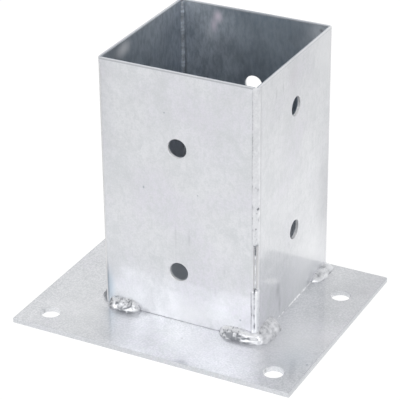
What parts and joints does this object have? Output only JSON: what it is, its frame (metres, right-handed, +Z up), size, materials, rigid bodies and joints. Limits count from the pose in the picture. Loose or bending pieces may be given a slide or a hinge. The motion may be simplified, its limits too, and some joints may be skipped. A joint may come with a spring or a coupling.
{
  "type": "screw-on post sleeve",
  "caption": "Welded steel sleeve on a flat anchor plate that holds the foot of a square timber post, open at the top, with bolt holes through its walls and plate.",
  "frame": {"origin": "on the sleeve's centre line, at the underside of the base plate", "axes": "+Z up along the sleeve, -Y towards the wide front ledge of the plate, +X to the right seen from the front"},
  "size_m": [0.17, 0.135, 0.153],
  "materials": {
    "galvanised_plate": "hot-dip galvanised, satin grey",
    "galvanised_sheet": "hot-dip galvanised, satin grey",
    "galvanised_weld": "zinc-coated weld bead, satin grey"
  },
  "bodies": {
    "root": {"base_plate": "galvanised_plate", "sleeve_sheet_front_left": "galvanised_sheet", "sleeve_sheet_back_right": "galvanised_sheet", "seam_bead_front_upper": "galvanised_weld", "seam_bead_front_lower": "galvanised_weld", "seam_bead_back_upper": "galvanised_weld", "seam_bead_back_lower": "galvanised_weld", "foot_weld_front_left": "galvanised_weld", "foot_weld_front_right": "galvanised_weld", "foot_weld_right_near": "galvanised_weld", "foot_weld_right_far": "galvanised_weld", "foot_weld_left_near": "galvanised_weld", "foot_weld_left_far": "galvanised_weld"}
  },
  "joints": []
}
